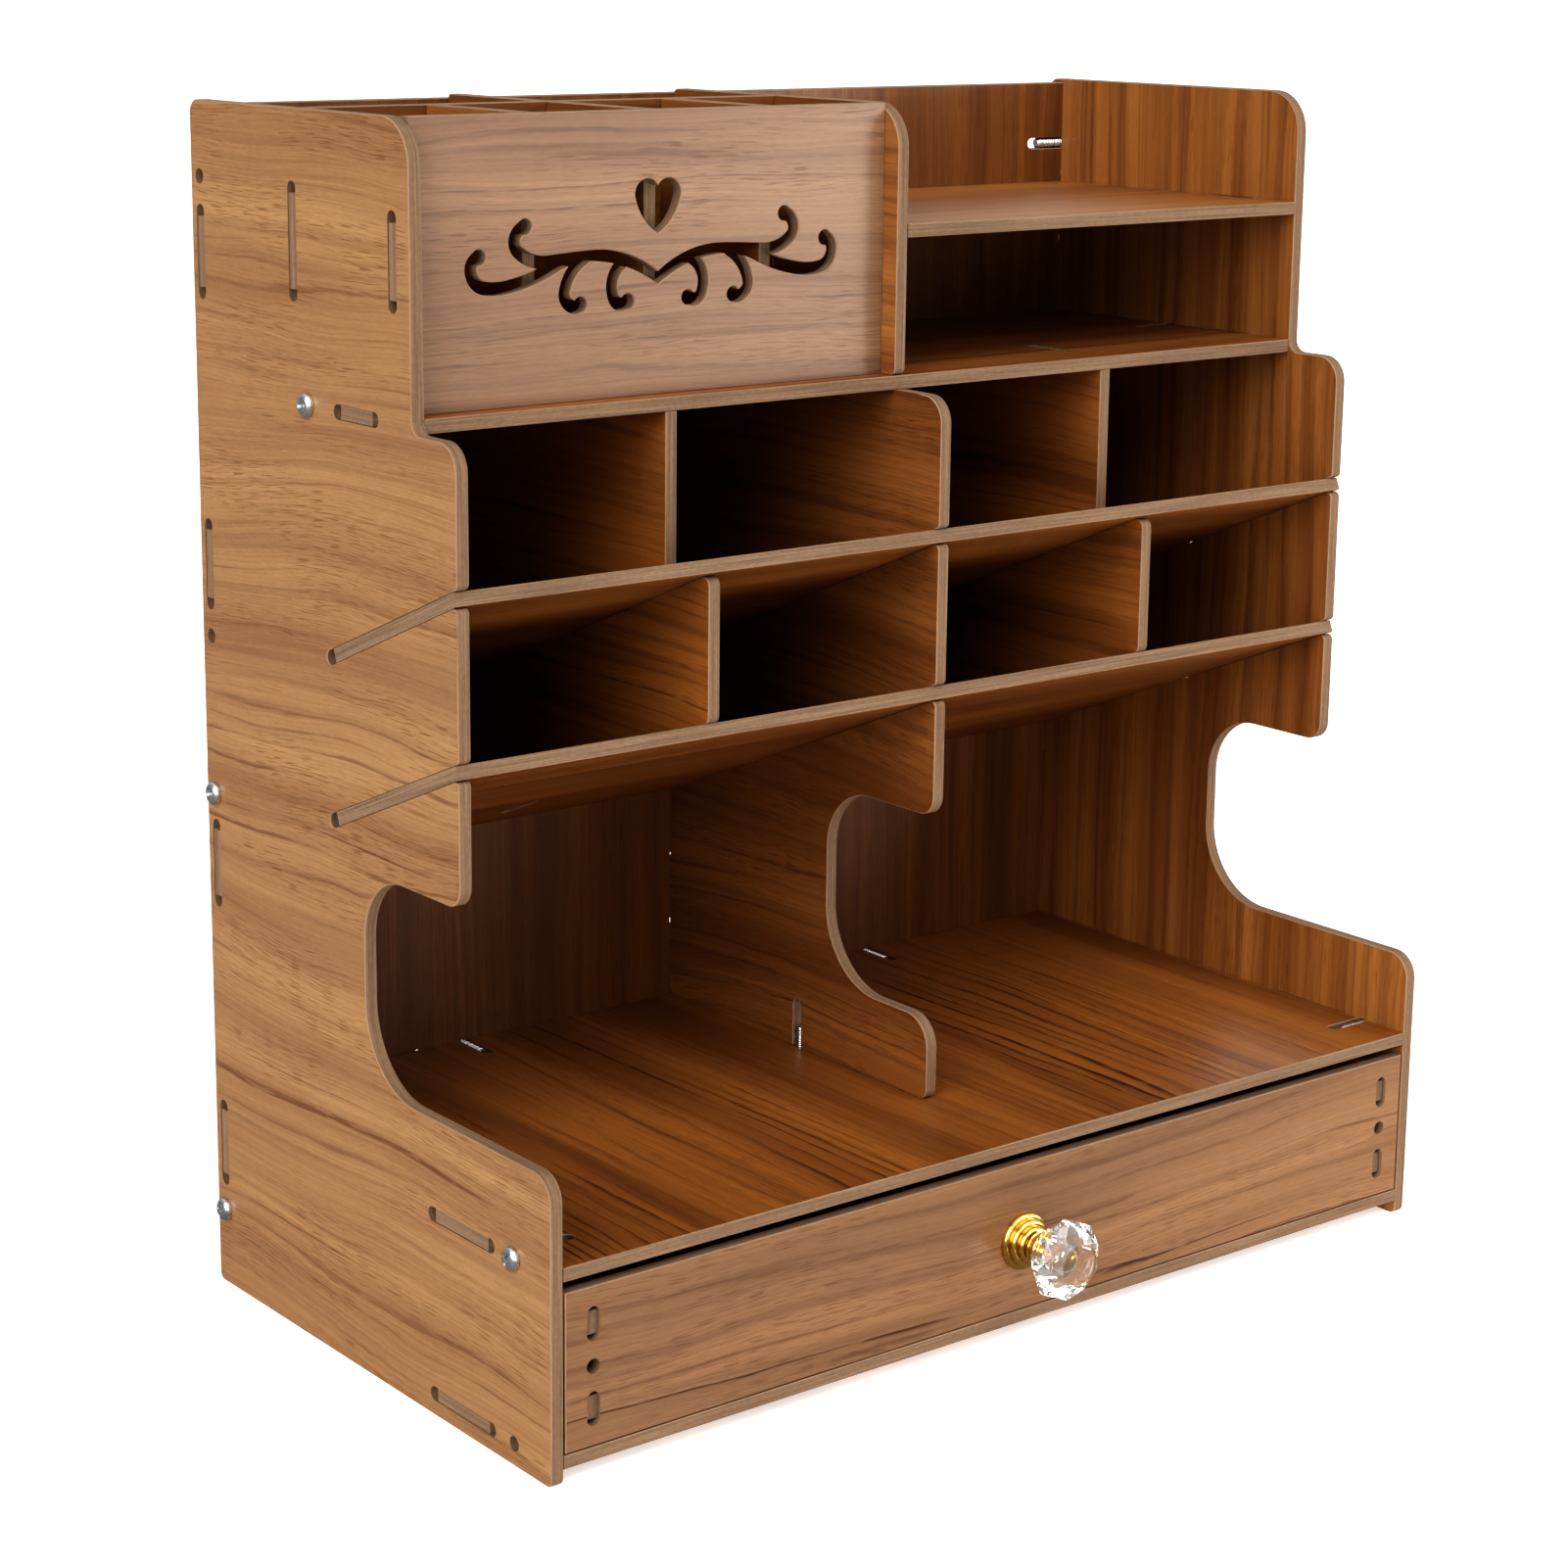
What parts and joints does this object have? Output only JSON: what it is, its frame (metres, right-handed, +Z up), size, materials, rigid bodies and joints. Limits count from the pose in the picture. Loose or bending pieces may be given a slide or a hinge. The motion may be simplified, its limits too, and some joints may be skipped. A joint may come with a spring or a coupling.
{
  "type": "desk organizer",
  "caption": "Flat-pack desk organizer of slotted wood-print boards with a pen box, slanted cubbies, open bays, stepped sides and a wide drawer with a faceted crystal knob.",
  "frame": {"origin": "centre of the bounding box at desk level", "axes": "+X to the organizer's right as seen from its front, +Y towards its back, +Z up; the drawer opens along -Y"},
  "size_m": [0.3452, 0.2064, 0.362],
  "materials": {
    "laminated_board": "satin teak-print laminate on fibreboard with bare cut edges",
    "gold_plate": "polished gold plate",
    "crystal": "clear cut crystal",
    "zinc_steel": "bright zinc plate"
  },
  "bodies": {
    "carcass": {"back_panel": "laminated_board", "bay_floor": "laminated_board", "bottom_board": "laminated_board", "carcass_screws": "zinc_steel", "deck": "laminated_board", "left_side_panel": "laminated_board", "lower_left_cubby_divider": "laminated_board", "lower_right_cubby_divider": "laminated_board", "lower_slanted_shelf": "laminated_board", "middle_divider": "laminated_board", "pen_box_centre_partition": "laminated_board", "pen_box_front": "laminated_board", "pen_box_left_partition": "laminated_board", "pen_box_long_partition": "laminated_board", "pen_box_right_partition": "laminated_board", "right_side_panel": "laminated_board", "side_shelf": "laminated_board", "upper_divider": "laminated_board", "upper_left_cubby_divider": "laminated_board", "upper_right_cubby_divider": "laminated_board", "upper_slanted_shelf": "laminated_board"},
    "drawer": {"drawer_back": "laminated_board", "drawer_bottom": "laminated_board", "drawer_front": "laminated_board", "drawer_left_side": "laminated_board", "drawer_right_side": "laminated_board", "knob_base": "gold_plate", "knob_crystal": "crystal", "knob_screw": "zinc_steel"}
  },
  "joints": [
    {"name": "drawer_slide", "type": "slide", "parent": "carcass", "child": "drawer", "axis": [0, -1, 0], "range_m": [0, 0.13]}
  ]
}
